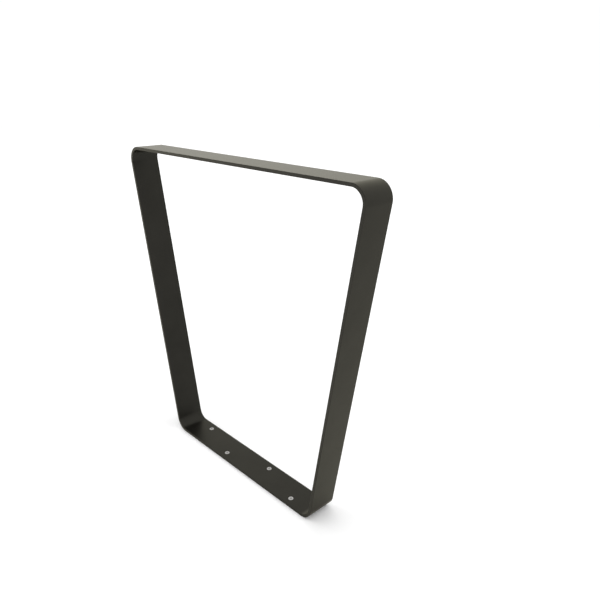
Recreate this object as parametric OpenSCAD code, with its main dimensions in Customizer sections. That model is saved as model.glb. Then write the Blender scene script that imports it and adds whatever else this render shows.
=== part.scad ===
// Surface-mounted bike rack: one flat bar bent into an open trapezoid, held to the ground
// by four countersunk screws in drop-in anchors.
//
// Millimetres. X runs along the rack, Y across the bar, Z up.
// The origin is the middle of the underside of the base, on the ground.

/* [Frame] */
// Height of the rack above the ground
rack_h = 847; // [600:1:1100]
// Length of the base between its unrounded outer corners
base_w = 578; // [480:1:760]
// Length of the top between its unrounded outer corners
top_w = 876; // [480:1:1200]

/* [Flat bar] */
// Width of the flat bar
bar_w = 80; // [60:1:120]
// Thickness of the flat bar
bar_t = 8; // [6:0.5:12]
// Radius on the long edges of the bar
bar_edge_r = 0.8; // [0.3:0.1:2]
// Radius inside each of the four bends
bend_r = 30; // [16:1:60]

/* [Screws] */
// Distance from the base's unrounded outer corner to the screw nearest to it
outer_screw_inset = 87; // [70:1:120]
// Distance from the middle of the base to the two inner screws
inner_screw_x = 70; // [20:1:120]
// Distance from each edge of the bar to its row of screws
screw_edge_gap = 20; // [12:1:28]
// Diameter of the screw's shank
screw_d = 6; // [5:0.5:8]
// Overall length of the screw, head included
screw_l = 20; // [16:1:45]
// Diameter of the screw's head
head_d = 13.4; // [11:0.1:18]
// Height of the straight rim round the head
head_rim = 0.4; // [0.2:0.1:1]
// Angle of the head's cone
head_angle = 90; // [80:2:100]
// Size of the hexagon socket across its flats
socket_af = 4; // [3:0.5:5]
// Depth of the hexagon socket
socket_depth = 2.8; // [1.5:0.1:3.5]
// Bevel round the top of the head
head_bevel = 0.25; // [0.1:0.05:0.4]
// Bevel at the tip of the screw
tip_bevel = 0.8; // [0.3:0.1:1.2]

/* [Ground anchors] */
// Depth of the anchor's mouth below the ground
anchor_recess = 3; // [2.5:0.5:10]
// Wall of the anchor's shell round its thread
anchor_wall = 0.95; // [0.6:0.05:3]
// Length of thread left free below the screw's tip
tip_room = 1; // [0.5:0.5:8]
// Length of the shell below its thread, where it is spread
spread_l = 15; // [13:1:30]
// Length of shell between the thread and the slits
slit_stop = 2; // [1:0.5:5]
// Number of slits in the lower end of the shell
slit_count = 4; // [2:1:6]
// Width of the slits
slit_w = 0.8; // [0.6:0.1:1.4]
// How far the set shell is spread at its lower end, on each side
spread = 0.25; // [0.1:0.05:0.6]
// Length of the plug that spreads the shell
plug_l = 10; // [6:1:12]
// How much smaller the plug's wide end is than the screw, on each side
plug_drop = 0.8; // [0.6:0.1:1.4]
// How much the plug narrows towards its lower end, on each side
plug_taper = 0.6; // [0.2:0.1:1]
// Distance from the lower end of the plug to the lower end of the shell
plug_inset = 1; // [0:0.5:2]
// Bevel on the rims of the shell and the plug
anchor_bevel = 0.3; // [0.1:0.05:0.5]

/* [Clearances] */
// Gap round the screw's shank in its hole through the bar
hole_gap = 0.5; // [0.2:0.1:1]
// Gap between the screw's head and its countersink
seat_gap = 0.05; // [0.02:0.01:0.2]
// Gap between the screw and the anchor's thread, both drawn without their grooves
thread_gap = 0.05; // [0.02:0.01:0.2]
// Gap between the plug and the shell
plug_gap = 0.05; // [0.02:0.01:0.2]

/* [Hidden] */
SCREWS = [1, 2, 3, 4];
$fn = 96;

// How far a cutting shape passes the solid that it cuts
cut = 1;
// How far the half frame passes the middle before it is trimmed there
trim = 5;

// The frame is followed outside its bends, anticlockwise seen from the front
leg_lean = (top_w - base_w) / 2;
leg_angle = atan2(rack_h, leg_lean);
base_turn = leg_angle;
top_turn = 180 - leg_angle;
outer_bend_r = bend_r + bar_t;
base_tangent = outer_bend_r * tan(base_turn / 2);
top_tangent = outer_bend_r * tan(top_turn / 2);
base_run = base_w / 2 - base_tangent;
leg_run = norm([leg_lean, rack_h]) - base_tangent - top_tangent;
top_run = top_w / 2 - top_tangent;

// The steps of the half frame, from the middle of the base round to past the middle of the top
HALF_FRAME = [
    ["flat", base_run],
    ["bend", base_turn],
    ["flat", leg_run],
    ["bend", top_turn],
    ["flat", top_run + trim]
];

// Two staggered rows of screws: the row at the back, at +Y, is the first and the third
outer_screw_x = base_w / 2 - outer_screw_inset;
row_y = bar_w / 2 - screw_edge_gap;
SCREW_PLACES = [
    [-outer_screw_x, row_y],
    [-inner_screw_x, -row_y],
    [inner_screw_x, row_y],
    [outer_screw_x, -row_y]
];
// How far each screw's socket is turned, since each stops where it is tight
SOCKET_TURNS = [12, 41, 27, 5];

shank_r = screw_d / 2;
head_r = head_d / 2;
head_cone_h = (head_r - shank_r) / tan(head_angle / 2);
head_bevel_h = min(head_bevel, head_rim / 2);
socket_sides = 6;
socket_r = socket_af / 2 / cos(180 / socket_sides);
screw_tip_z = bar_t - screw_l;

hole_r = shank_r + hole_gap;
// The countersink's cone is the head's own, moved out by seat_gap square to its face
countersink_grow = seat_gap / cos(head_angle / 2);
countersink_rim_z = bar_t - head_rim;
countersink_h = (head_r + countersink_grow - hole_r) / tan(head_angle / 2);
countersink_past = head_rim + cut;

thread_r = shank_r + thread_gap;
shell_r = thread_r + anchor_wall;
shell_top_z = -anchor_recess;
thread_end_z = screw_tip_z - tip_room;
shell_end_z = thread_end_z - spread_l;
slit_top_z = thread_end_z - slit_stop;
plug_end_z = shell_end_z + plug_inset;
plug_top_z = plug_end_z + plug_l;
plug_top_r = shank_r - plug_drop;
plug_end_r = plug_top_r - plug_taper;
// The shell's bore keeps the plug's slope down to the shell's own end
chamber_r = plug_top_r + plug_gap;
chamber_end_r = chamber_r - plug_taper * (plug_l + plug_inset) / plug_l;

// The bar's own section: thickness along X from 0, width along Y about 0
module bar_section() {
    for (x = [bar_edge_r, bar_t - bar_edge_r], y = [-1, 1] * (bar_w / 2 - bar_edge_r)) {
        translate([x, y]) circle(r = bar_edge_r);
    }
    translate([bar_edge_r, -bar_w / 2]) square([bar_t - 2 * bar_edge_r, bar_w]);
    translate([0, bar_edge_r - bar_w / 2]) square([bar_t, bar_w - 2 * bar_edge_r]);
}

// A flat stretch of bar along +X, its outer face at z = 0
module flat(length) {
    translate([0, 0, bar_t]) rotate([0, 90, 0]) linear_extrude(height = length) bar_section();
}

// Turns what follows by an angle about a bend's centre, which lies above the start of the bend
module around_bend(angle) {
    translate([0, 0, outer_bend_r]) rotate([0, -angle, 0]) translate([0, 0, -outer_bend_r]) children();
}

// Everything on one side of a square cut across the bar at the start of a bend
module side_of_cut(side) {
    reach = outer_bend_r + cut;
    translate([min(0, side * 2 * reach), -bar_w / 2 - cut, outer_bend_r - reach])
        cube([2 * reach, bar_w + 2 * cut, 2 * reach]);
}

// A bend is a ring of the bar's section, kept between the square cuts at its two ends
module bend(angle) {
    intersection() {
        translate([0, 0, outer_bend_r]) rotate([90, 180, 0])
            rotate_extrude() translate([bend_r, 0]) bar_section();
        side_of_cut(1);
        around_bend(angle) side_of_cut(-1);
    }
}

// Draws the steps of the half frame from number i on, each one starting where the last one ends
module follow_bar(i = 0) {
    if (i < len(HALF_FRAME)) {
        kind = HALF_FRAME[i][0];
        size = HALF_FRAME[i][1];
        if (kind == "flat") {
            flat(size);
            translate([size, 0, 0]) follow_bar(i + 1);
        } else {
            bend(size);
            around_bend(size) follow_bar(i + 1);
        }
    }
}

// The half frame, trimmed square where the two halves of the bar meet
module half_frame() {
    difference() {
        follow_bar();
        translate([-2 * trim, -bar_w / 2 - cut, -cut]) cube([2 * trim, bar_w + 2 * cut, rack_h + 2 * cut]);
    }
}

// A screw's hole through the base, with its countersink in the upper face
module screw_hole() {
    translate([0, 0, -cut]) cylinder(r = hole_r, h = bar_t + 2 * cut);
    translate([0, 0, countersink_rim_z - countersink_h])
        cylinder(
            r1 = hole_r,
            r2 = head_r + countersink_grow + countersink_past * tan(head_angle / 2),
            h = countersink_h + countersink_past
        );
}

module bent_frame() {
    color([0.245, 0.24, 0.225]) difference() {
        union() {
            half_frame();
            mirror([1, 0, 0]) half_frame();
        }
        for (place = SCREW_PLACES) {
            translate(place) screw_hole();
        }
    }
}

// A countersunk screw with a hexagon socket, its head flush with the base
module screw(n) {
    color([0.72, 0.72, 0.71]) translate(SCREW_PLACES[n - 1]) difference() {
        rotate_extrude() polygon([
            [0, screw_tip_z],
            [shank_r - tip_bevel, screw_tip_z],
            [shank_r, screw_tip_z + tip_bevel],
            [shank_r, bar_t - head_rim - head_cone_h],
            [head_r, bar_t - head_rim],
            [head_r, bar_t - head_bevel_h],
            [head_r - head_bevel, bar_t],
            [0, bar_t]
        ]);
        translate([0, 0, bar_t - socket_depth]) rotate([0, 0, SOCKET_TURNS[n - 1]])
            cylinder(r = socket_r, h = socket_depth + cut, $fn = socket_sides);
    }
}

// One slit of the shell, from its axis outwards, with a round upper end
module slit() {
    reach = shell_r + spread + cut;
    translate([0, -slit_w / 2, shell_end_z - cut]) cube([reach, slit_w, slit_top_z - shell_end_z + cut]);
    translate([0, 0, slit_top_z]) rotate([0, 90, 0]) cylinder(d = slit_w, h = reach);
}

// A set drop-in anchor: threaded above, slit and spread over its plug below
module anchor_shell(n) {
    color([0.66, 0.66, 0.62]) translate(SCREW_PLACES[n - 1]) difference() {
        rotate_extrude() polygon([
            [thread_r + anchor_bevel, shell_top_z],
            [shell_r - anchor_bevel, shell_top_z],
            [shell_r, shell_top_z - anchor_bevel],
            [shell_r, slit_top_z],
            [shell_r + spread, shell_end_z],
            [chamber_end_r, shell_end_z],
            [chamber_r, plug_top_z],
            [chamber_r, thread_end_z - (thread_r - chamber_r)],
            [thread_r, thread_end_z],
            [thread_r, shell_top_z - anchor_bevel]
        ]);
        for (i = [0 : slit_count - 1]) {
            rotate([0, 0, i * 360 / slit_count]) slit();
        }
    }
}

// The tapered plug that was driven down inside the shell to spread it
module anchor_plug(n) {
    color([0.58, 0.58, 0.55]) translate(SCREW_PLACES[n - 1]) rotate_extrude() polygon([
        [0, plug_end_z],
        [plug_end_r - anchor_bevel, plug_end_z],
        [plug_end_r, plug_end_z + anchor_bevel],
        [plug_top_r, plug_top_z - anchor_bevel],
        [plug_top_r - anchor_bevel, plug_top_z],
        [0, plug_top_z]
    ]);
}

bent_frame();
for (n = SCREWS) {
    screw(n);
    anchor_shell(n);
    anchor_plug(n);
}
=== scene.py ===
"""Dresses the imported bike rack: a flat bar bent into an open trapezoid, and what holds it down.

Sizes here are in millimetres, and a mesh is scaled to metres when it is made. Places come from the
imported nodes. X runs along the rack, Y across the bar and Z up, with the ground at zero.
"""

import logging
import math
from dataclasses import dataclass, field
from enum import Enum
from typing import ClassVar

import bpy
import numpy as np
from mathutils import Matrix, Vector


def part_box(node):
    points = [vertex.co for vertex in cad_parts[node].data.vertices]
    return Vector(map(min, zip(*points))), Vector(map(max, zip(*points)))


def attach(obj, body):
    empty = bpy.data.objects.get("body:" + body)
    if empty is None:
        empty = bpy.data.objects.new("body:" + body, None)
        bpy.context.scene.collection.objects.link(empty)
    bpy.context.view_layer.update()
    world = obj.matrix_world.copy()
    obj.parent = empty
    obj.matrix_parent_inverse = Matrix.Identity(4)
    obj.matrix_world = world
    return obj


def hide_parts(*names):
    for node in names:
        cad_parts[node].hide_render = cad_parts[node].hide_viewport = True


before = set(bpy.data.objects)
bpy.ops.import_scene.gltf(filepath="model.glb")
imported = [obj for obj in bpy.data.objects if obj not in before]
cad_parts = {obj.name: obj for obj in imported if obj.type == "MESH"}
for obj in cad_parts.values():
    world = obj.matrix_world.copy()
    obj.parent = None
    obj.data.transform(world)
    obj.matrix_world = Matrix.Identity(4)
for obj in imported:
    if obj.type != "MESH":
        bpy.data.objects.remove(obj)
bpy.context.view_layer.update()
LOG = logging.getLogger("bike_rack")

MM = 0.001
BODY = "root"
UP = np.array([0.0, 0.0, 1.0])
ROUND_STEPS = 72
WELD_GRID = 1e-4
WELD_SHIFT = 0.27


class Slot(Enum):
    """Names of the material slots."""

    FRAME = "frame_coat"
    SCREWS = "stainless_screws"
    SHELLS = "zinc_shells"
    PLUGS = "steel_plugs"


@dataclass
class Patch:
    """A grid of surface points with the outward direction at each.

    Attributes:
        points: Rows by columns by 3, in millimetres.
        outward: Unit directions in the same layout.
    """

    points: np.ndarray
    outward: np.ndarray

    @classmethod
    def worked_out(cls, points: np.ndarray, hint: np.ndarray, closed: bool = False) -> "Patch":
        """Finds the outward directions of a smooth grid from its points.

        Each is the cross product of the differences along the rows and along the columns, brought to
        unit length. All are turned together so that their sum agrees with the hint.

        Args:
            points: Rows by columns by 3.
            hint: A rough outward direction, for the whole grid or for each point.
            closed: True if the last column repeats the first.

        Returns:
            The patch.
        """
        wide = points
        if closed:
            wide = np.concatenate([points[:, -2:-1], points, points[:, 1:2]], axis=1)
        down, along = (np.gradient(wide, axis=axis, edge_order=2) for axis in (0, 1))
        cross = np.cross(down, along)
        if closed:
            cross = cross[:, 1:-1]
        outward = cross / np.linalg.norm(cross, axis=-1, keepdims=True)
        return cls(points, outward if (outward * hint).sum() > 0 else -outward)

    def quads(self) -> np.ndarray:
        """Lists the grid's faces, wound so that they face outwards.

        Returns:
            Faces by 4 indices into the flattened points.
        """
        rows, columns = self.points.shape[:2]
        index = np.arange(rows * columns).reshape(rows, columns)
        around = [index[:-1, :-1], index[1:, :-1], index[1:, 1:], index[:-1, 1:]]
        quads = np.stack(around, axis=-1).reshape(-1, 4)
        corner = self.points.reshape(-1, 3)[quads]
        facing = np.cross(corner[:, 2] - corner[:, 0], corner[:, 3] - corner[:, 1])
        agreement = (facing * self.outward.reshape(-1, 3)[quads].sum(axis=1)).sum()
        return quads if agreement > 0 else quads[:, ::-1]


@dataclass
class Skin:
    """One closed surface, gathered from patches that share the points where they meet.

    Attributes:
        name: The name of the object that it becomes.
        patches: The patches so far.
    """

    name: str
    patches: list[Patch] = field(default_factory=list)

    def add(self, *patches: Patch) -> None:
        """Adds patches to the surface."""
        self.patches.extend(patches)

    def welded(self) -> tuple[np.ndarray, np.ndarray, np.ndarray, np.ndarray]:
        """Joins the patches at equal points and drops what has collapsed, such as corners at a pole.

        Returns:
            The points, the corners of all faces in a row, each face's count of corners, and the
            outward direction at each corner.
        """
        counts = np.cumsum([0] + [patch.points[..., 0].size for patch in self.patches])
        quads = np.concatenate([patch.quads() + start for patch, start in zip(self.patches, counts)])
        points = np.concatenate([patch.points.reshape(-1, 3) for patch in self.patches])
        outward = np.concatenate([patch.outward.reshape(-1, 3) for patch in self.patches])
        places = np.round(points / WELD_GRID + WELD_SHIFT)
        _, first, shared = np.unique(places, axis=0, return_index=True, return_inverse=True)
        corners = shared.reshape(-1)[quads]
        kept = corners != np.roll(corners, 1, axis=1)
        kept &= (kept.sum(axis=1) > 2)[:, None]
        sizes = kept.sum(axis=1)
        return points[first], corners[kept], sizes[sizes > 0], outward[quads][kept]

    def make(self, node: str, material: bpy.types.Material) -> bpy.types.Object:
        """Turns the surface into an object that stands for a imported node.

        Args:
            node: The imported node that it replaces.
            material: Its finish.

        Returns:
            The object, at the origin, with its place in its mesh.
        """
        points, corners, sizes, outward = self.welded()
        mesh = bpy.data.meshes.new(self.name)
        mesh.vertices.add(len(points))
        mesh.vertices.foreach_set("co", (points * MM).astype(np.float32).ravel())
        mesh.loops.add(len(corners))
        mesh.loops.foreach_set("vertex_index", corners.astype(np.int32))
        mesh.polygons.add(len(sizes))
        starts = np.concatenate([[0], np.cumsum(sizes)[:-1]])
        mesh.polygons.foreach_set("loop_start", starts.astype(np.int32))
        mesh.update(calc_edges=True)
        mesh.polygons.foreach_set("use_smooth", np.ones(len(sizes), dtype=bool))
        mesh.normals_split_custom_set(outward.astype(np.float32).tolist())
        mesh.materials.append(material)
        made = bpy.data.objects.new(self.name, mesh)
        bpy.context.scene.collection.objects.link(made)
        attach(made, BODY)
        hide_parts(node)
        LOG.info("%s: %d points, %d faces, in place of %s", self.name, len(points), len(sizes), node)
        return made


@dataclass(frozen=True)
class Profile:
    """A line in a plane, as distance and height, with its outward side on the left as it runs.

    Attributes:
        points: Count by 2.
        outward: Unit directions in the same layout.
    """

    points: np.ndarray
    outward: np.ndarray

    @classmethod
    def rounded(cls, corners: list[tuple[float, ...]], steps: int = 5) -> "Profile":
        """Makes a line of straight stretches with an arc of a given radius at each corner.

        An arc's centre lies off its corner, along the middle of the two stretches, by the radius over
        the sine of half the angle between them. A corner of no radius has its point twice, once for
        the stretch on either side, so that it stays sharp.

        Args:
            corners: Distance, height and, for a round corner, its radius.
            steps: Steps in each arc.

        Returns:
            The line.
        """
        spots = np.array([corner[:2] for corner in corners], dtype=float)
        ways = np.diff(spots, axis=0)
        ways /= np.linalg.norm(ways, axis=1, keepdims=True)
        lefts = np.stack([-ways[:, 1], ways[:, 0]], axis=1)
        points, outward = [spots[:1]], [lefts[:1]]
        for i, corner in enumerate(corners[1:-1]):
            radius = corner[2] if len(corner) > 2 else 0.0
            way, following = ways[i], ways[i + 1]
            turn = math.atan2(way[0] * following[1] - way[1] * following[0], way @ following)
            share = np.linspace(0.0, turn, steps + 1 if radius else 2)[:, None]
            left = lefts[i] * np.cos(share) - way * np.sin(share)
            side = math.copysign(radius, turn)
            start = spots[i + 1] - way * radius * math.tan(abs(turn) / 2)
            points.append(start + side * (lefts[i] - left))
            outward.append(left)
        points.append(spots[-1:])
        outward.append(lefts[-1:])
        return cls(np.concatenate(points), np.concatenate(outward))


@dataclass(frozen=True)
class Outline:
    """A closed line about an axis, drawn for a distance of one from the axis to its sides.

    Attributes:
        points: Count by 2, with the first point again at the end.
        outward: Unit directions away from the axis, in the same layout.
    """

    points: np.ndarray
    outward: np.ndarray

    @classmethod
    def circle(cls, angles: np.ndarray) -> "Outline":
        """A circle through the given angles: cosine and sine of each."""
        way = np.stack([np.cos(angles), np.sin(angles)], axis=1)
        return cls(way, way)

    @classmethod
    def polygon(cls, sides: int, turned: float) -> tuple["Outline", "Outline"]:
        """A regular polygon, and the circle that goes with it point for point.

        A point at an angle off the middle of its side lies at one over the cosine of that angle. The
        corners have their point twice, so that they stay sharp.

        Args:
            sides: The number of sides.
            turned: The direction of one corner, in degrees.

        Returns:
            The polygon and the circle.
        """
        steps = ROUND_STEPS // sides
        off = np.linspace(-math.pi / sides, math.pi / sides, steps + 1)[None, :]
        middle = math.radians(turned) + (np.arange(sides)[:, None] + 0.5) * 2 * math.pi / sides
        ring = cls.circle((middle + off).ravel())
        side = cls.circle((middle + 0 * off).ravel())
        return cls(ring.points / np.cos(np.tile(off, sides)).T, side.outward), ring


def swept(profile: Profile, outline: Outline, centre: np.ndarray) -> Patch:
    """Carries a profile round an outline.

    A point is the centre plus the outline's point times the profile's distance, at the profile's
    height. Round a circle this is a turned surface.

    Args:
        profile: Distances from the axis and heights.
        outline: The line that the profile is carried round.
        centre: Where the axis is, in X and Y.

    Returns:
        The patch, with a row for each point of the profile.
    """
    shape = (len(profile.points), len(outline.points), 1)
    flat = centre + profile.points[:, None, :1] * outline.points[None]
    height = np.broadcast_to(profile.points[:, None, 1:], shape)
    side = profile.outward[:, None, :1] * outline.outward[None]
    rise = np.broadcast_to(profile.outward[:, None, 1:], shape)
    return Patch(np.concatenate([flat, height], axis=-1), np.concatenate([side, rise], axis=-1))


def spanned(inner: np.ndarray, outer: np.ndarray, outward: np.ndarray, steps: int) -> Patch:
    """Fills a flat ring or strip with straight lines from one edge to the other.

    A point is the inner edge's plus a share of the way to the outer edge's.

    Args:
        inner: Points of one edge, count by 3.
        outer: Points of the other edge, in the same layout.
        outward: The direction that the surface faces.
        steps: Steps from edge to edge.

    Returns:
        The patch, with a row for each step.
    """
    share = np.linspace(0.0, 1.0, steps + 1)[:, None, None]
    points = inner + share * (outer - inner)
    return Patch(points, np.broadcast_to(outward, points.shape))


def ring_angles(turned: float = 0.0) -> np.ndarray:
    """Even angles in radians, once round from a direction in degrees and back to it."""
    return math.radians(turned) + np.linspace(0.0, 2 * math.pi, ROUND_STEPS + 1)


def about_axis(
    centre: np.ndarray, radius: np.ndarray, angle: np.ndarray, height: np.ndarray
) -> np.ndarray:
    """Places points by radius, angle and height: the radius times cosine and sine, and the height.

    Args:
        centre: Where the axis is, in X and Y.
        radius: Radii.
        angle: Angles, in radians.
        height: Heights.

    Returns:
        The points, in the shape that the three make together.
    """
    radius, angle, height = np.broadcast_arrays(radius, angle, height)
    x = centre[0] + radius * np.cos(angle)
    y = centre[1] + radius * np.sin(angle)
    return np.stack([x, y, height], axis=-1)


def at_height(flat: np.ndarray, height: float) -> np.ndarray:
    """Gives points in X and Y a height."""
    return np.concatenate([flat, np.full(flat.shape[:-1] + (1,), height)], axis=-1)


def middle_of(node: str) -> np.ndarray:
    """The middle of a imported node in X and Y, in millimetres."""
    low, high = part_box(node)
    return np.array([low.x + high.x, low.y + high.y]) / 2 / MM


def node_points(node: str) -> np.ndarray:
    """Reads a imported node's points.

    Args:
        node: Its name.

    Returns:
        Count by 3, in millimetres.
    """
    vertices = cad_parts[node].data.vertices
    points = np.empty(len(vertices) * 3, dtype=np.float32)
    vertices.foreach_get("co", points)
    return points.reshape(-1, 3).astype(float) / MM


class Bench:
    """Builds one procedural material on the object's own coordinates.

    Attributes:
        SMOOTH: Finer layers in a smooth noise.
        FINE: Finer layers in a noise with some grit.
        CLOUDY: Finer layers in a noise for clouds.
        MIDDLE: The values of a noise between which most of it lies.
    """

    SMOOTH = 1.0
    FINE = 2.0
    CLOUDY = 3.0
    MIDDLE = (0.3, 0.7)

    def __init__(self, name: str) -> None:
        """Starts a material with a Principled surface.

        Args:
            name: The material's name.
        """
        self.material = bpy.data.materials.new(name)
        self.material.use_nodes = True
        self.nodes = self.material.node_tree.nodes
        self.nodes.clear()
        self.surface = self.nodes.new("ShaderNodeBsdfPrincipled")
        output = self.nodes.new("ShaderNodeOutputMaterial")
        self.join(self.surface.outputs["BSDF"], output.inputs["Surface"])
        self.place = self.nodes.new("ShaderNodeTexCoord").outputs["Object"]

    def join(self, source: bpy.types.NodeSocket, target: bpy.types.NodeSocket) -> None:
        """Links an output to an input."""
        self.material.node_tree.links.new(source, target)

    def set(self, **values: float | tuple[float, ...]) -> None:
        """Sets the surface's own sockets, named with an underscore for each space."""
        for name, value in values.items():
            self.surface.inputs[name.replace("_", " ")].default_value = value

    def noise(self, size: float, detail: float) -> bpy.types.NodeSocket:
        """Adds a noise pattern.

        Args:
            size: The size of its grain, in millimetres.
            detail: How many finer layers it has.

        Returns:
            Its value.
        """
        pattern = self.nodes.new("ShaderNodeTexNoise")
        pattern.inputs["Scale"].default_value = 1 / (size * MM)
        pattern.inputs["Detail"].default_value = detail
        self.join(self.place, pattern.inputs["Vector"])
        return pattern.outputs["Fac"]

    def cells(self, size: float) -> bpy.types.NodeSocket:
        """Adds a pattern of crystals, each of one random value.

        Args:
            size: The size of a crystal, in millimetres.

        Returns:
            The value of each crystal.
        """
        pattern = self.nodes.new("ShaderNodeTexVoronoi")
        pattern.inputs["Scale"].default_value = 1 / (size * MM)
        self.join(self.place, pattern.inputs["Vector"])
        return pattern.outputs["Color"]

    def rings(self, size: float) -> bpy.types.NodeSocket:
        """Adds tool marks round the piece's axis, as noise on the distance from it.

        Args:
            size: The width of a mark, in millimetres.

        Returns:
            Its value.
        """
        distance = self.nodes.new("ShaderNodeAttribute")
        distance.attribute_name = Turned.DISTANCE
        pattern = self.nodes.new("ShaderNodeTexNoise")
        pattern.noise_dimensions = "1D"
        pattern.inputs["Scale"].default_value = 1 / (size * MM)
        pattern.inputs["Detail"].default_value = self.FINE
        self.join(distance.outputs["Fac"], pattern.inputs["W"])
        return pattern.outputs["Fac"]

    def ranged(self, value: bpy.types.NodeSocket, low: float, high: float) -> bpy.types.NodeSocket:
        """Spreads the middle of a noise pattern over a range.

        Args:
            value: The pattern.
            low: The value of its dark parts.
            high: The value of its pale parts.

        Returns:
            The spread value.
        """
        ranged = self.nodes.new("ShaderNodeMapRange")
        for name, limit in zip(("From Min", "From Max", "To Min", "To Max"), (*self.MIDDLE, low, high)):
            ranged.inputs[name].default_value = limit
        self.join(value, ranged.inputs["Value"])
        return ranged.outputs["Result"]

    def blended(
        self,
        share: bpy.types.NodeSocket,
        first: tuple[float, float, float],
        second: tuple[float, float, float],
    ) -> bpy.types.NodeSocket:
        """Mixes two colours by a pattern.

        Args:
            share: The pattern, from 0 for the first colour to 1 for the second.
            first: A linear colour.
            second: Another.

        Returns:
            The mixed colour.
        """
        ramp = self.nodes.new("ShaderNodeValToRGB")
        ramp.color_ramp.elements[0].color = (*first, 1)
        ramp.color_ramp.elements[1].color = (*second, 1)
        self.join(share, ramp.inputs["Fac"])
        return ramp.outputs["Color"]

    def bumps(self, *layers: tuple[bpy.types.NodeSocket, float]) -> None:
        """Gives the surface its relief, one layer over the other.

        Args:
            layers: For each, its pattern and its depth in millimetres.
        """
        below = None
        for pattern, depth in layers:
            bump = self.nodes.new("ShaderNodeBump")
            bump.inputs["Distance"].default_value = depth * MM
            bump.inputs["Strength"].default_value = 1.0
            self.join(pattern, bump.inputs["Height"])
            if below is not None:
                self.join(below, bump.inputs["Normal"])
            below = bump.outputs["Normal"]
        self.join(below, self.surface.inputs["Normal"])

    def drive(self, **patterns: bpy.types.NodeSocket) -> None:
        """Links patterns to the surface's sockets, named with an underscore for each space."""
        for name, pattern in patterns.items():
            self.join(pattern, self.surface.inputs[name.replace("_", " ")])


@dataclass(frozen=True)
class PowderCoat:
    """A satin powder coat in warm dark grey, with a fine grain and fine metal flakes in it.

    Attributes:
        shade: The linear colour.
        drift: How far the shade drifts up and down over the bar, as a share.
        cloud: Size of the clouds in which it drifts.
        flakes: The metal's share of the coat.
        edge_tint: Tint of what the coat mirrors, which the flakes keep at a low angle.
        index: Refractive index of the coat, which sets its gloss.
        rough: Least and greatest roughness.
        grain: Size and depth of the coat's fine grain.
        flow: Size and depth of the waves left as the coat flowed out.
    """

    shade: tuple[float, float, float] = (0.0226, 0.0217, 0.0184)
    drift: float = 0.08
    cloud: float = 60.0
    flakes: float = 0.8
    edge_tint: tuple[float, float, float] = (0.94, 0.915, 0.80)
    index: float = 1.41
    rough: tuple[float, float] = (0.33, 0.39)
    grain: tuple[float, float] = (0.7, 0.010)
    flow: tuple[float, float] = (4.0, 0.010)

    def material(self) -> bpy.types.Material:
        """Builds the finish.

        Returns:
            The material.
        """
        bench = Bench("powder_coat")
        dark = tuple(part * (1 - self.drift) for part in self.shade)
        pale = tuple(part * (1 + self.drift) for part in self.shade)
        drift = bench.ranged(bench.noise(self.cloud, bench.CLOUDY), 0.0, 1.0)
        grain = bench.noise(self.grain[0], bench.FINE)
        flow = bench.noise(self.flow[0], bench.SMOOTH)
        bench.set(IOR=self.index, Metallic=self.flakes, Specular_Tint=(*self.edge_tint, 1))
        bench.drive(
            Base_Color=bench.blended(drift, dark, pale),
            Roughness=bench.ranged(grain, *self.rough),
        )
        bench.bumps((flow, self.flow[1]), (grain, self.grain[1]))
        return bench.material


@dataclass(frozen=True)
class Metal:
    """A bare or plated metal.

    Attributes:
        name: The material's name.
        dark: The linear colour of its darker grains.
        pale: The linear colour of its paler grains.
        rough: Least and greatest roughness.
        crystal: Size of its crystals, or zero for a metal without visible ones.
        cloud: Size of the clouds in the colour of a metal without crystals.
        mark: Width and depth of the tool marks round the axis.
        fleck: Size and depth of its fine pits.
    """

    name: str
    dark: tuple[float, float, float]
    pale: tuple[float, float, float]
    rough: tuple[float, float]
    crystal: float = 0.0
    cloud: float = 2.0
    mark: tuple[float, float] = (0.18, 0.004)
    fleck: tuple[float, float] = (0.35, 0.003)

    def material(self) -> bpy.types.Material:
        """Builds the finish.

        Returns:
            The material.
        """
        bench = Bench(self.name)
        marks = bench.rings(self.mark[0])
        pits = bench.noise(self.fleck[0], bench.FINE)
        if self.crystal:
            spread = bench.cells(self.crystal)
        else:
            spread = bench.noise(self.cloud, bench.CLOUDY)
        bench.set(Metallic=1.0)
        bench.drive(
            Base_Color=bench.blended(bench.ranged(spread, 0.0, 1.0), self.dark, self.pale),
            Roughness=bench.ranged(marks, *self.rough),
        )
        bench.bumps((marks, self.mark[1]), (pits, self.fleck[1]))
        return bench.material


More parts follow.
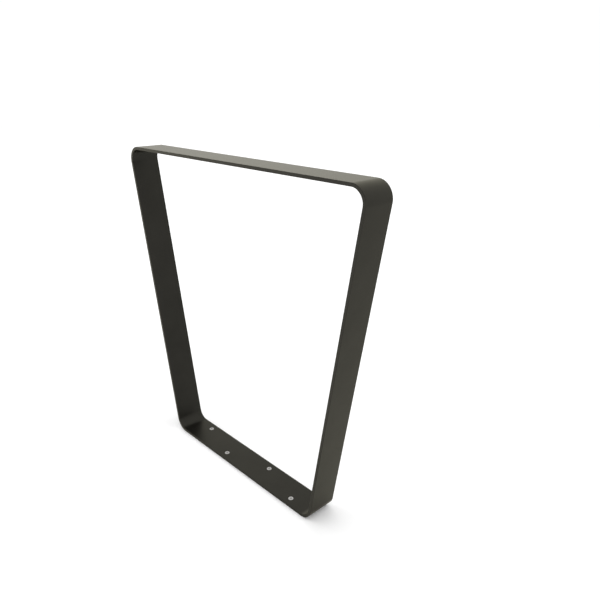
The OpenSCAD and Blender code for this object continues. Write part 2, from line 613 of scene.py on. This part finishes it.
@dataclass
class Turned:
    """What the numbered, turned pieces share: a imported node, an axis, and how they are made.

    Attributes:
        DISTANCE: Name of the stored distance from the axis.
        NODE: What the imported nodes' names start with.
        PIECE: What the pieces' own names start with.
        SLOT: Their material slot.
        number: Which of the four it is.
    """

    DISTANCE: ClassVar[str] = "from_axis"
    NODE: ClassVar[str]
    PIECE: ClassVar[str]
    SLOT: ClassVar[Slot]

    number: int

    def __post_init__(self) -> None:
        """Reads the piece's place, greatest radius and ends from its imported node."""
        node = self.node_name(self.number)
        low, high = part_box(node)
        self.centre = middle_of(node)
        self.widest = (high.x - low.x) / 2 / MM
        self.top = high.z / MM
        self.end = low.z / MM

    @classmethod
    def node_name(cls, number: int) -> str:
        """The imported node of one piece."""
        return f"{cls.NODE}_{number}"

    def patches(self) -> list[Patch]:
        """The piece's whole surface."""
        raise NotImplementedError

    def build(self, finish: bpy.types.Material) -> None:
        """Builds and dresses the piece, and stores each point's distance from its axis, in metres.

        Args:
            finish: Its material.
        """
        skin = Skin(f"{self.PIECE}_{self.number}")
        skin.add(*self.patches())
        mesh = skin.make(self.node_name(self.number), finish).data
        points = np.empty(len(mesh.vertices) * 3, dtype=np.float32)
        mesh.vertices.foreach_get("co", points)
        flat = points.reshape(-1, 3)[:, :2] - self.centre * MM
        stored = mesh.attributes.new(self.DISTANCE, "FLOAT", "POINT")
        stored.data.foreach_set("value", np.hypot(flat[:, 0], flat[:, 1]).astype(np.float32))


@dataclass(frozen=True)
class Thread:
    """An M6 thread, right-handed, by the same formula on the screw and in its anchor.

    Attributes:
        crest: Radius of the screw's crests.
        pitch: Rise in one turn.
        depth: Depth from crest to root.
        crest_flat: Width of the crest, as a share of half a pitch.
        root_flat: Width of the root, as a share of half a pitch.
        play: How far the anchor's thread stands off the screw's.
    """

    crest: float = 3.0
    pitch: float = 1.0
    depth: float = 0.57
    crest_flat: float = 0.14
    root_flat: float = 0.24
    play: float = 0.09

    def radius(self, angle: np.ndarray, height: np.ndarray) -> np.ndarray:
        """The screw's radius: full on the crests, less by the depth in the roots, straight between.

        The phase is the height over the pitch less the share of a turn.

        Args:
            angle: Angles round the axis, in radians.
            height: Heights.

        Returns:
            A radius for each.
        """
        phase = (height / self.pitch - angle / (2 * math.pi)) % 1.0
        off_crest = np.abs(phase - 0.5) * 2
        flank = (1 - self.root_flat - off_crest) / (1 - self.root_flat - self.crest_flat)
        return self.crest - self.depth * (1 - np.clip(flank, 0.0, 1.0))


@dataclass
class BentFrame:
    """The frame: a flat bar with rounded edges, bent four times, with four countersunk holes.

    Attributes:
        node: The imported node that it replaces.
        bend: Radius inside the bends.
        edge: Radius on the bar's long edges.
        hole: Radius of the screw holes.
        seat_gap: Gap between a screw's head and its countersink.
        rim: Radius on the rims of the holes.
        hole_cell: Half the length of base that is drawn round each hole.
        cell_steps: Steps along one side of that cell.
        cell_rings: Steps from each hole to the border of its cell.
        edge_steps: Steps round each long edge.
        bend_steps: Steps round each bend.
        straight_step: Length of the steps along the straight stretches.
    """

    node: str = "bent_frame"
    bend: float = 30.0
    edge: float = 0.8
    hole: float = 3.5
    seat_gap: float = 0.05
    rim: float = 0.3
    hole_cell: float = 20.0
    cell_steps: int = 24
    cell_rings: int = 6
    edge_steps: int = 6
    bend_steps: int = 40
    straight_step: float = 20.0

    def __post_init__(self) -> None:
        """Reads the frame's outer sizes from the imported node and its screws."""
        low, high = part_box(self.node)
        self.height = high.z / MM
        self.half_width = (high.y - low.y) / 2 / MM
        screw = Screw(Screw.NUMBERS[0], Thread())
        self.thick = screw.top
        self.opening = screw.widest + self.seat_gap * math.sqrt(2) + screw.head_rim
        self.outer = self.bend + self.thick
        self.top_run = high.x / MM - self.outer
        points = node_points(self.node)
        self.base_run = float(points[points[:, 2] < WELD_GRID + MM, 0].max())
        self.leg_turn = math.atan2(self.height - 2 * self.outer, self.top_run - self.base_run)
        self.flat_half = self.half_width - self.edge
        self.across = np.linspace(-self.flat_half, self.flat_half, 2 * self.cell_steps + 1)

    def section(self) -> list[Profile]:
        """The bar's section in four parts, as depth from its outer face and place across it.

        Returns:
            The outer face, the edge at the back, the inner face and the edge at the front.
        """
        flat, thick, edge = self.flat_half, self.thick, self.edge
        outer = np.stack([0 * self.across, self.across], axis=1)
        inner = np.stack([0 * self.across + thick, self.across], axis=1)
        corners = [(0, flat), (0, self.half_width, edge), (thick, self.half_width, edge), (thick, flat)]
        rounded = Profile.rounded(corners, self.edge_steps)
        back = Profile(rounded.points[1:-1], rounded.outward[1:-1])
        front = Profile(back.points * (1, -1), back.outward * (1, -1))
        faces = [np.full_like(outer, 0.0) + (side, 0) for side in (-1, 1)]
        return [Profile(outer, faces[0]), back, Profile(inner, faces[1]), front]

    def along(self, spots: np.ndarray, inward: np.ndarray, parts: list[Profile]) -> list[Patch]:
        """Carries parts of the section along a stretch of the bar.

        A point is the stretch's own, on the outer face, plus the depth times the inward direction
        there, at the part's place across the bar.

        Args:
            spots: Points of the outer face in X and Z, count by 2.
            inward: Directions to the inner face there.
            parts: Parts of the section.

        Returns:
            A patch for each part.
        """
        made = []
        for part in parts:
            shape = (len(spots), len(part.points))
            plane = spots[:, None] + part.points[None, :, :1] * inward[:, None]
            across = np.broadcast_to(part.points[None, :, 1], shape)
            tilt = part.outward[None, :, :1] * inward[:, None]
            side = np.broadcast_to(part.outward[None, :, 1], shape)
            points = np.stack([plane[..., 0], across, plane[..., 1]], axis=-1)
            outward = np.stack([tilt[..., 0], side, tilt[..., 1]], axis=-1)
            made.append(Patch(points, outward))
        return made

    def straight(self, start: np.ndarray, end: np.ndarray) -> tuple[np.ndarray, np.ndarray]:
        """A straight stretch of the outer face, with its inward direction on the left.

        Args:
            start: Where it starts, in X and Z.
            end: Where it ends.

        Returns:
            Its points and their inward directions.
        """
        way = end - start
        length = float(np.linalg.norm(way))
        steps = max(1, round(length / self.straight_step))
        spots = start + np.linspace(0.0, 1.0, steps + 1)[:, None] * way
        return spots, np.broadcast_to(np.array([-way[1], way[0]]) / length, spots.shape)

    def bent(self, centre: np.ndarray, first: float, last: float) -> tuple[np.ndarray, np.ndarray]:
        """A bend of the outer face: an arc about the bend's centre.

        Args:
            centre: The centre, in X and Z.
            first: How far the bar has turned where the bend starts, in radians.
            last: How far it has turned where it ends.

        Returns:
            Its points and their inward directions.
        """
        turn = np.linspace(first, last, self.bend_steps + 1)
        inward = np.stack([-np.sin(turn), np.cos(turn)], axis=1)
        return centre - self.outer * inward, inward

    def stretches(self) -> list[tuple[np.ndarray, np.ndarray]]:
        """Everything but the base: on either side a low bend, a leg and a high bend, and the top.

        Returns:
            Points and inward directions of each stretch.
        """
        low = self.bent(np.array([self.base_run, self.outer]), 0.0, self.leg_turn)
        high = self.bent(np.array([self.top_run, self.height - self.outer]), self.leg_turn, math.pi)
        leg = self.straight(low[0][-1], high[0][0])
        half = [low, leg, high]
        mirrored = [(spots * (-1, 1), inward * (-1, 1)) for spots, inward in half]
        return [*half, *mirrored, self.straight(high[0][-1], high[0][-1] * (-1, 1))]

    def hole_cells(self, face: float, radius: float) -> list[Patch]:
        """Fills one face of the base, leaving the round holes open.

        Beside each hole is a four-sided cell, which straight lines join to the hole's circle, each
        line pointing at the hole's middle.

        Args:
            face: Height of the face.
            radius: Radius of the holes in it.

        Returns:
            The patches.
        """
        outward = UP if face > 0 else -UP
        made: list[Patch] = []
        edge = -self.base_run
        for hole in sorted(self.holes(), key=lambda spot: spot[0]):
            start, end = hole[0] - self.hole_cell, hole[0] + self.hole_cell
            made.append(self.plain(edge, start, self.across, face))
            front, back = self.across[: self.cell_steps + 1], self.across[self.cell_steps :]
            holed, whole = (back, front) if hole[1] > 0 else (front, back)
            made.append(self.plain(start, end, whole, face, self.cell_steps))
            border = self.cell_border(np.linspace(start, end, self.cell_steps + 1), holed)
            circle = hole + radius * self.towards(border, hole)
            ends = at_height(circle, face), at_height(border, face)
            made.append(spanned(*ends, outward, self.cell_rings))
            edge = end
        made.append(self.plain(edge, self.base_run, self.across, face))
        return made

    def plain(self, start: float, end: float, across: np.ndarray, face: float, steps: int = 0) -> Patch:
        """A flat, four-sided part of the base.

        Args:
            start: Where it starts along the base.
            end: Where it ends.
            across: Its lines across the bar.
            face: Its height.
            steps: Steps along it, or zero for the usual ones.

        Returns:
            The patch.
        """
        along = self.base_steps(start, end, steps)
        sides = [at_height(np.stack([along, 0 * along + side], axis=1), face) for side in across]
        points = np.stack(sides, axis=1)
        return Patch(points, np.broadcast_to(UP if face > 0 else -UP, points.shape))

    def base_steps(self, start: float, end: float, steps: int = 0) -> np.ndarray:
        """Where the lines across the base lie between two places along it."""
        steps = steps or max(1, round((end - start) / self.straight_step))
        return np.linspace(start, end, steps + 1)

    @staticmethod
    def cell_border(along: np.ndarray, across: np.ndarray) -> np.ndarray:
        """The border of a cell, once round from its first corner.

        Args:
            along: Its lines' places along the base.
            across: Its lines' places across the bar.

        Returns:
            The border's points in X and Y, with the first again at the end.
        """
        return np.concatenate([
            np.stack([along, 0 * along + across[0]], axis=1),
            np.stack([0 * across[1:] + along[-1], across[1:]], axis=1),
            np.stack([along[-2::-1], 0 * along[1:] + across[-1]], axis=1),
            np.stack([0 * across[1:] + along[0], across[-2::-1]], axis=1),
        ])

    @staticmethod
    def towards(border: np.ndarray, hole: np.ndarray) -> np.ndarray:
        """Unit directions from a hole's middle to the points of its cell's border."""
        way = border - hole
        return way / np.linalg.norm(way, axis=1, keepdims=True)

    @staticmethod
    def holes() -> list[np.ndarray]:
        """The middles of the four screws, in X and Y."""
        return [middle_of(Screw.node_name(n)) for n in Screw.NUMBERS]

    def countersink(self) -> Profile:
        """The wall of a screw hole from the base's underside up: a bore, a cone and round rims."""
        cone = self.opening - self.hole
        return Profile.rounded([
            (self.hole + self.rim, 0),
            (self.hole, 0, self.rim),
            (self.hole, self.thick - cone, self.rim),
            (self.opening, self.thick, self.rim),
            (self.opening + self.rim, self.thick),
        ])

    def base(self) -> list[Patch]:
        """The base with its four holes.

        Returns:
            Both faces, both edges and the walls of the holes.
        """
        wall = self.countersink()
        lower, upper = wall.points[0, 0], wall.points[-1, 0]
        made = self.hole_cells(0.0, lower) + self.hole_cells(self.thick, upper)
        _, back, _, front = self.section()
        reach = np.array([-self.hole_cell, self.hole_cell])
        marks = sorted(mark for hole in self.holes() for mark in hole[0] + reach)
        marks = [-self.base_run, *marks, self.base_run]
        for i, (start, end) in enumerate(zip(marks, marks[1:])):
            x = self.base_steps(start, end, self.cell_steps if i % 2 else 0)
            spots = np.stack([x, 0 * x], axis=1)
            made += self.along(spots, np.broadcast_to((0.0, 1.0), spots.shape), [back, front])
        for hole in self.holes():
            x = np.linspace(*(hole[0] + reach), self.cell_steps + 1)
            holed = self.across[self.cell_steps :] if hole[1] > 0 else self.across[: self.cell_steps + 1]
            way = self.towards(self.cell_border(x, holed), hole)
            made.append(swept(wall, Outline(way, way), hole))
        return made

    def build(self, coat: PowderCoat) -> None:
        """Builds and dresses the frame.

        Args:
            coat: Its finish.
        """
        skin = Skin("bent_frame_coated")
        skin.add(*self.base())
        for spots, inward in self.stretches():
            skin.add(*self.along(spots, inward, self.section()))
        skin.make(self.node, coat.material())


@dataclass
class Screw(Turned):
    """A countersunk screw with a hexagon socket, threaded up to its neck.

    Attributes:
        NUMBERS: The numbers of the four screws, which their anchors share.
        TURNS: How far each has been turned, in degrees.
        thread: Its thread.
        socket: Half the socket's size across its flats.
        socket_depth: Depth of the socket's sides.
        socket_cone: Depth of the hollow in the socket's floor.
        head_rim: Height of the straight rim round the head.
        bevel: Bevel round the top of the head.
        tip_bevel: Bevel at the tip.
        soft: Radius on the head's edges.
        socket_soft: Radius on the socket's rim.
        neck_soft: Radius between the head and the neck.
        neck: Length of plain shank below the head.
        fade: Length over which the thread runs out below the neck.
        thread_step: Length of the steps along the thread.
        flat_steps: Steps from the socket to the rim of the head's flat top.
    """

    NUMBERS: ClassVar[tuple[int, ...]] = (1, 2, 3, 4)
    TURNS: ClassVar[tuple[float, ...]] = (12.0, 41.0, 27.0, 5.0)
    NODE: ClassVar[str] = "screw"
    PIECE: ClassVar[str] = "countersunk_screw"
    SLOT: ClassVar[Slot] = Slot.SCREWS

    thread: Thread
    socket: float = 2.0
    socket_depth: float = 2.8
    socket_cone: float = 0.8
    head_rim: float = 0.4
    bevel: float = 0.25
    tip_bevel: float = 0.8
    soft: float = 0.08
    socket_soft: float = 0.16
    neck_soft: float = 0.4
    neck: float = 0.8
    fade: float = 1.4
    thread_step: float = 0.08
    flat_steps: int = 5

    def __post_init__(self) -> None:
        """Works out where the head's cone and the neck start and end."""
        super().__post_init__()
        self.turned = self.TURNS[self.number - 1]
        self.seat = self.top - self.head_rim
        self.neck_start = self.seat - (self.widest - self.thread.crest)
        self.neck_end = self.neck_start - self.neck

    def head_patches(self) -> list[Patch]:
        """The socket, the flat top round it and the head's side down to the neck.

        Returns:
            The patches.
        """
        hexagon, ring = Outline.polygon(6, self.turned)
        floor = self.top - self.socket_depth
        hollow = Profile.rounded([
            (0, floor - self.socket_cone),
            (self.socket, floor),
            (self.socket, self.top, self.socket_soft),
            (self.socket + self.socket_soft + self.soft, self.top),
        ])
        side = Profile.rounded([
            (self.widest - self.bevel - self.soft * 2, self.top),
            (self.widest - self.bevel, self.top, self.soft),
            (self.widest, self.top - self.bevel, self.soft),
            (self.widest, self.seat, self.soft),
            (self.thread.crest, self.neck_start, self.neck_soft),
            (self.thread.crest, self.neck_end),
        ])
        inner = at_height(self.centre + hollow.points[-1, 0] * hexagon.points, self.top)
        outer = at_height(self.centre + side.points[0, 0] * ring.points, self.top)
        circle = Outline.circle(ring_angles(self.turned))
        return [
            swept(hollow, hexagon, self.centre),
            spanned(inner, outer, UP, self.flat_steps),
            swept(side, circle, self.centre),
        ]

    def shank_patches(self) -> list[Patch]:
        """The threaded shank and its flat tip.

        The radius is the thread's, filled up to the crest where the thread runs out below the neck,
        and held inside the cone of the tip's bevel.

        Returns:
            The patches.
        """
        rows = round((self.neck_end - self.end) / self.thread_step)
        height = np.linspace(self.neck_end, self.end, rows + 1)[:, None]
        angle = ring_angles(self.turned)[None, :]
        full = self.thread.radius(angle, height)
        cut = np.clip((self.neck_end - height) / self.fade, 0.0, 1.0)
        radius = self.thread.crest - (self.thread.crest - full) * cut
        point = self.thread.crest - self.tip_bevel
        radius = np.minimum(radius, point + (height - self.end))
        shank = about_axis(self.centre, radius, angle, height)
        tip = Profile(np.array([(point, self.end), (0.0, self.end)]), np.array([(0.0, -1.0)] * 2))
        outward = np.stack([np.cos(angle), np.sin(angle), 0 * angle], axis=-1)
        return [
            Patch.worked_out(shank, outward, closed=True),
            swept(tip, Outline.circle(angle[0]), self.centre),
        ]

    def patches(self) -> list[Patch]:
        """The head, and then the shank below it."""
        return [*self.head_patches(), *self.shank_patches()]


@dataclass
class AnchorShell(Turned):
    """The shell of a set drop-in anchor: threaded above, slit and spread over its plug below.

    Attributes:
        thread: The thread of its screw.
        outer: Radius of its upper part.
        mouth: Width of the bevel at its mouth.
        thread_end: Depth of the end of its thread.
        slits: Number of slits.
        slit_half: Half the width of a slit.
        slit_top: Depth of the middle of a slit's round upper end.
        chamber: Radius of the hollow for the plug.
        chamber_turn: Depth where the hollow starts to narrow.
        chamber_end: Radius of the hollow at the lower end.
        soft: Radius on its upper rim.
        thread_step: Length of the steps along the thread.
        tip_steps: Steps round a slit's upper end.
        narrow_steps: Steps along the even part of the hollow.
        spread_steps: Steps along the part that narrows.
        wall_steps: Steps through the wall.
        closing_steps: Steps from the thread to the hollow.
    """

    NODE: ClassVar[str] = "anchor_shell"
    PIECE: ClassVar[str] = "set_anchor_shell"
    SLOT: ClassVar[Slot] = Slot.SHELLS

    thread: Thread
    outer: float = 4.0
    mouth: float = 0.3
    thread_end: float = -13.0
    slits: int = 4
    slit_half: float = 0.4
    slit_top: float = -15.0
    chamber: float = 2.25
    chamber_turn: float = -17.0
    chamber_end: float = 1.59
    soft: float = 0.3
    thread_step: float = 0.1
    tip_steps: int = 8
    narrow_steps: int = 3
    spread_steps: int = 12
    wall_steps: int = 3
    closing_steps: int = 6

    def __post_init__(self) -> None:
        """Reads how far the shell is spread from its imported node's points."""
        super().__post_init__()
        points = node_points(self.node_name(self.number))
        self.spread_to = float(np.hypot(*(points[:, :2] - self.centre).T).max())

    def slit_rows(self) -> tuple[np.ndarray, np.ndarray, np.ndarray]:
        """Heights down a slit from its tip, with half its width and the tilt of its wall at each.

        Round the upper end the height is the middle's plus the sine, and half the width the cosine,
        of an angle that falls from a right angle to zero. Below, the width stays.

        Returns:
            Heights, half widths, and the wall's outward share along Z.
        """
        turn = np.linspace(math.pi / 2, 0.0, self.tip_steps + 1)
        even = np.linspace(self.slit_top, self.chamber_turn, self.narrow_steps + 1)[1:]
        below = np.linspace(self.chamber_turn, self.end, self.spread_steps + 1)[1:]
        height = np.concatenate([self.slit_top + self.slit_half * np.sin(turn), even, below])
        half = np.full(len(height), self.slit_half)
        half[: len(turn)] *= np.cos(turn)
        half[0] = 0.0
        tilt = np.zeros(len(height))
        tilt[: len(turn)] = -np.sin(turn)
        return height, half, tilt

    def inner_radius(self, height: np.ndarray) -> np.ndarray:
        """Radius of the hollow: even down to where it turns, then narrowing evenly to the end."""
        return np.interp(-height, [-self.chamber_turn, -self.end], [self.chamber, self.chamber_end])

    def outer_radius(self, height: np.ndarray) -> np.ndarray:
        """Radius outside: even down to the slits, then spreading evenly to the end."""
        return np.interp(-height, [-self.slit_top, -self.end], [self.outer, self.spread_to])

    def slit_ways(self, slit: int) -> tuple[float, float]:
        """The directions of a slit and of the next one, in radians."""
        return slit * 2 * math.pi / self.slits, (slit + 1) * 2 * math.pi / self.slits

    def strip(self, slit: int, radius: np.ndarray, gap: np.ndarray, level: np.ndarray) -> np.ndarray:
        """Places points across a leaf at each radius and height, evenly from one wall to the other.

        Args:
            slit: The slit where the leaf starts.
            radius: Radii.
            gap: Half the slits' width at each.
            level: The height of each.

        Returns:
            The points, with a row for each radius.
        """
        first, last = self.slit_ways(slit)
        share = np.linspace(0.0, 1.0, ROUND_STEPS // self.slits + 1)
        off = np.arcsin(gap / radius)[:, None]
        angle = first + off + share * (last - first - 2 * off)
        return about_axis(self.centre, radius[:, None], angle, level[:, None])

    def leaf(self, slit: int) -> list[Patch]:
        """One of the leaves between two slits, with its two walls and its lower end.

        At a radius, the leaf starts past the slit's direction by the angle whose sine is half the
        slit's width over the radius, and it ends as far before the next slit.

        Args:
            slit: The slit where it starts.

        Returns:
            The patches.
        """
        height, half, tilt = self.slit_rows()
        first, last = self.slit_ways(slit)
        middle = np.array([math.cos((first + last) / 2), math.sin((first + last) / 2), 0.0])
        inner, outer = self.inner_radius(height), self.outer_radius(height)
        wall = np.linspace(0.0, 1.0, self.wall_steps + 1)
        ends = self.chamber_end + wall * (self.spread_to - self.chamber_end)
        end = self.strip(slit, ends, np.full_like(wall, self.slit_half), np.full_like(wall, self.end))
        made = [
            Patch.worked_out(self.strip(slit, inner, half, height), -middle),
            Patch.worked_out(self.strip(slit, outer, half, height), middle),
            Patch(end, np.broadcast_to(-UP, end.shape)),
        ]
        radius = inner[:, None] + wall * (outer - inner)[:, None]
        for direction, sign in ((first, 1.0), (last, -1.0)):
            off = direction + sign * np.arcsin(half[:, None] / radius)
            points = about_axis(self.centre, radius, off, height[:, None])
            side = -sign * np.array([-math.sin(direction), math.cos(direction), 0.0])
            flat = np.sqrt(1 - tilt**2)[:, None, None] * side + tilt[:, None, None] * UP
            made.append(Patch(points, np.broadcast_to(flat, points.shape)))
        return made

    def upper(self) -> list[Patch]:
        """The whole part above the slits: outside, mouth, thread and the hollow's start.

        In the bore the radius is the screw's plus the play. At the mouth it opens to a cone, and below
        the thread it closes evenly to the hollow.

        Returns:
            The patches.
        """
        angle = ring_angles()
        circle = Outline.circle(angle)
        tip = self.slit_top + self.slit_half
        opening = self.thread.crest + self.thread.play + self.mouth
        rim = Profile.rounded([
            (opening, self.top),
            (self.outer, self.top, self.soft),
            (self.outer, tip),
        ])
        rows = round((self.top - self.thread_end) / self.thread_step)
        height = np.linspace(self.top, self.thread_end, rows + 1)[:, None]
        cone = opening - (self.top - height)
        radius = np.maximum(self.thread.radius(angle[None], height) + self.thread.play, cone)
        bore = about_axis(self.centre, radius, angle[None], height)
        share = np.linspace(0.0, 1.0, self.closing_steps + 1)[:, None]
        closing = about_axis(
            self.centre,
            radius[-1:] + share * (self.chamber - radius[-1:]),
            angle[None],
            self.thread_end - share * (self.thread.crest - self.chamber),
        )
        hollow = Profile(
            np.array([(self.chamber, closing[-1, 0, 2]), (self.chamber, tip)]),
            np.array([(-1.0, 0.0)] * 2),
        )
        inward = -np.stack([np.cos(angle), np.sin(angle), 0 * angle], axis=-1)[None]
        return [
            swept(rim, circle, self.centre),
            Patch.worked_out(bore, inward, closed=True),
            Patch.worked_out(closing, inward, closed=True),
            swept(hollow, circle, self.centre),
        ]

    def patches(self) -> list[Patch]:
        """The whole upper part, and then the leaves below it."""
        return self.upper() + [patch for slit in range(self.slits) for patch in self.leaf(slit)]


@dataclass
class AnchorPlug(Turned):
    """The tapered plug that was driven down inside a shell to spread it.

    Attributes:
        end_radius: Radius of its lower end.
        soft: Radius on its rims.
    """

    NODE: ClassVar[str] = "anchor_plug"
    PIECE: ClassVar[str] = "spreading_plug"
    SLOT: ClassVar[Slot] = Slot.PLUGS

    end_radius: float = 1.6
    soft: float = 0.3

    def patches(self) -> list[Patch]:
        """A cone with round rims, turned about its axis.

        Returns:
            The patch.
        """
        side = Profile.rounded([
            (0, self.top),
            (self.widest, self.top, self.soft),
            (self.end_radius, self.end, self.soft),
            (0, self.end),
        ])
        return [swept(side, Outline.circle(ring_angles()), self.centre)]


@dataclass(frozen=True)
class Glow:
    """A soft brightening of the sky about one direction.

    Attributes:
        towards: Its middle, as a unit direction.
        extra: How much it adds there to the sky's level of one.
        reach: Cosine of the angle from its middle at which it has faded out.
    """

    towards: tuple[float, float, float]
    extra: float
    reach: float


@dataclass
class Studio:
    """A plain pale floor, soft light from all round and above, and the camera.

    Attributes:
        floor_half: Half the floor's size, in metres.
        floor_drop: How far the floor lies below the ground face, in metres.
        floor_shade: The floor's colour, as it throws light back at the rack.
        floor_seen: The floor's level where the camera sees it, at which it is white outside the shadow.
        floor_mirrored: Its level where the rack mirrors it.
        painted_front_light: Painted light on the floor, seen only in the rack's reflections: how much
            brighter it is in front of the rack.
        painted_front_light_reach: How far in front that painted light reaches, in metres.
        sky: Strength of the world's light.
        sky_seen: Its level where the camera sees it.
        glows: Where the sky is brighter: low at the front left, high at the back, low at the back left.
        camera_place: Where the camera is, in metres.
        camera_tilt: How far it is raised from looking straight down, in degrees.
        camera_turn: How far it is turned to the left from looking along Y, in degrees.
        lens: Its focal length, in millimetres.
        sensor: Width of its sensor, in millimetres.
        clip: The nearest and the farthest that it sees, in metres.
    """

    floor_half: float = 12.0
    floor_drop: float = 0.0001
    floor_shade: float = 0.7
    floor_seen: float = 1.03
    floor_mirrored: float = 0.90
    # Painted light: the floor is brighter towards the front, but only in the rack's reflections.
    painted_front_light: float = 0.42
    painted_front_light_reach: float = 0.5
    sky: float = 1.0
    sky_seen: float = 1.02
    glows: tuple[Glow, ...] = (
        Glow((-0.86, -0.50, 0.05), 0.75, 0.5),
        Glow((0.22, 0.76, 0.61), 0.32, 0.3),
        Glow((-0.84, 0.53, 0.05), 0.38, 0.89),
    )
    camera_place: tuple[float, float, float] = (1.1147, -0.8555, 1.0315)
    camera_tilt: float = 69.034
    camera_turn: float = 46.432
    lens: float = 35.271
    sensor: float = 36.0
    clip: tuple[float, float] = (0.05, 100.0)

    @staticmethod
    def raised(
        tree: bpy.types.NodeTree,
        level: bpy.types.NodeSocket | float,
        share: bpy.types.NodeSocket,
        extra: bpy.types.NodeSocket | float,
    ) -> bpy.types.NodeSocket:
        """Adds an extra times a share to a level.

        Args:
            tree: The tree that it is worked out in.
            level: The level so far.
            share: The share.
            extra: What a whole share adds.

        Returns:
            The new level.
        """
        part = tree.nodes.new("ShaderNodeMath")
        part.operation = "MULTIPLY_ADD"
        for value, target in zip((share, extra, level), part.inputs):
            if isinstance(value, float):
                target.default_value = value
            else:
                tree.links.new(value, target)
        return part.outputs[0]

    def floor_level(self, tree: bpy.types.NodeTree) -> bpy.types.NodeSocket:
        """Adds the floor's level for each kind of ray.

        It is the plain shade, plus what it lacks to the seen level for the camera, plus what it lacks
        to the mirrored level for mirror and transmission rays, with painted light on top that rises
        evenly to the front, so that the rack's reflections of the floor in front are brighter.

        Args:
            tree: The tree that it is added to.

        Returns:
            The level.
        """
        path = tree.nodes.new("ShaderNodeLightPath")
        place = tree.nodes.new("ShaderNodeSeparateXYZ")
        tree.links.new(tree.nodes.new("ShaderNodeTexCoord").outputs["Object"], place.inputs[0])
        # Painted light: the floor's level for reflections is painted brighter towards the front.
        front = tree.nodes.new("ShaderNodeMapRange")
        front.inputs["From Max"].default_value = -self.painted_front_light_reach
        front.inputs["To Max"].default_value = self.painted_front_light
        tree.links.new(place.outputs["Y"], front.inputs["Value"])
        shade = self.floor_shade
        mirrored = self.raised(tree, self.floor_mirrored - shade, front.outputs["Result"], 1.0)
        level = self.raised(tree, shade, path.outputs["Is Camera Ray"], self.floor_seen - shade)
        level = self.raised(tree, level, path.outputs["Is Glossy Ray"], mirrored)
        return self.raised(tree, level, path.outputs["Is Transmission Ray"], mirrored)

    def add_floor(self) -> None:
        """Lays the floor: a pale matt sheet that shows white but keeps the rack's shadow."""
        half, drop = self.floor_half, -self.floor_drop
        mesh = bpy.data.meshes.new("floor")
        corners = [(-half, -half, drop), (half, -half, drop), (half, half, drop), (-half, half, drop)]
        mesh.from_pydata(corners, [], [(0, 1, 2, 3)])
        material = bpy.data.materials.new("floor_white")
        material.use_nodes = True
        tree = material.node_tree
        tree.nodes.clear()
        matt = tree.nodes.new("ShaderNodeBsdfDiffuse")
        tree.links.new(self.floor_level(tree), matt.inputs["Color"])
        output = tree.nodes.new("ShaderNodeOutputMaterial")
        tree.links.new(matt.outputs["BSDF"], output.inputs["Surface"])
        mesh.materials.append(material)
        floor = bpy.data.objects.new("floor", mesh)
        bpy.context.scene.collection.objects.link(floor)

    def sky_level(self, tree: bpy.types.NodeTree) -> bpy.types.NodeSocket:
        """Adds the sky's level in each direction: even for the camera, and with its glows otherwise.

        A glow's share rises smoothly with the cosine of the angle from its middle.

        Args:
            tree: The world's tree.

        Returns:
            The level.
        """
        way = tree.nodes.new("ShaderNodeTexCoord").outputs["Generated"]
        path = tree.nodes.new("ShaderNodeLightPath")
        level = self.sky
        for glow in self.glows:
            cosine = tree.nodes.new("ShaderNodeVectorMath")
            cosine.operation = "DOT_PRODUCT"
            cosine.inputs[1].default_value = glow.towards
            tree.links.new(way, cosine.inputs[0])
            share = tree.nodes.new("ShaderNodeMapRange")
            share.interpolation_type = "SMOOTHSTEP"
            share.inputs["From Min"].default_value = glow.reach
            tree.links.new(cosine.outputs["Value"], share.inputs["Value"])
            level = self.raised(tree, level, share.outputs["Result"], glow.extra)
        seen = tree.nodes.new("ShaderNodeMix")
        seen.inputs["B"].default_value = self.sky_seen
        tree.links.new(path.outputs["Is Camera Ray"], seen.inputs["Factor"])
        tree.links.new(level, seen.inputs["A"])
        return seen.outputs["Result"]

    def add_light(self) -> None:
        """Lights the rack softly from all round."""
        world = bpy.data.worlds.new("studio")
        world.use_nodes = True
        tree = world.node_tree
        background = tree.nodes["Background"]
        background.inputs["Color"].default_value = (1, 1, 1, 1)
        tree.links.new(self.sky_level(tree), background.inputs["Strength"])
        bpy.context.scene.world = world

    def add_camera(self) -> None:
        """Sets the camera up where the photograph was taken from."""
        lens = bpy.data.cameras.new("camera")
        lens.lens = self.lens
        lens.sensor_width = self.sensor
        lens.clip_start, lens.clip_end = self.clip
        camera = bpy.data.objects.new("camera", lens)
        camera.location = self.camera_place
        camera.rotation_euler = (math.radians(self.camera_tilt), 0.0, math.radians(self.camera_turn))
        bpy.context.scene.collection.objects.link(camera)
        bpy.context.scene.camera = camera

    def build(self) -> None:
        """Sets up the floor, the light, the camera and plain colour."""
        self.add_floor()
        self.add_light()
        self.add_camera()
        bpy.context.scene.view_settings.view_transform = "Standard"


def main() -> None:
    """Builds the studio and then each piece of the rack."""
    logging.basicConfig(level=logging.INFO, format="%(message)s")
    Studio().build()
    BentFrame().build(PowderCoat())
    thread = Thread()
    stainless = Metal(
        "stainless",
        dark=(0.345, 0.339, 0.325),
        pale=(0.40, 0.393, 0.379),
        rough=(0.22, 0.32),
    ).material()
    zinc = Metal(
        "zinc_plate",
        dark=(0.50, 0.50, 0.475),
        pale=(0.58, 0.58, 0.55),
        rough=(0.34, 0.46),
        crystal=0.25,
    ).material()
    steel = Metal(
        "drawn_steel",
        dark=(0.40, 0.40, 0.38),
        pale=(0.50, 0.50, 0.47),
        rough=(0.30, 0.44),
    ).material()
    for number in Screw.NUMBERS:
        Screw(number, thread).build(stainless)
        AnchorShell(number, thread).build(zinc)
        AnchorPlug(number).build(steel)


if __name__ == "__main__":
    main()
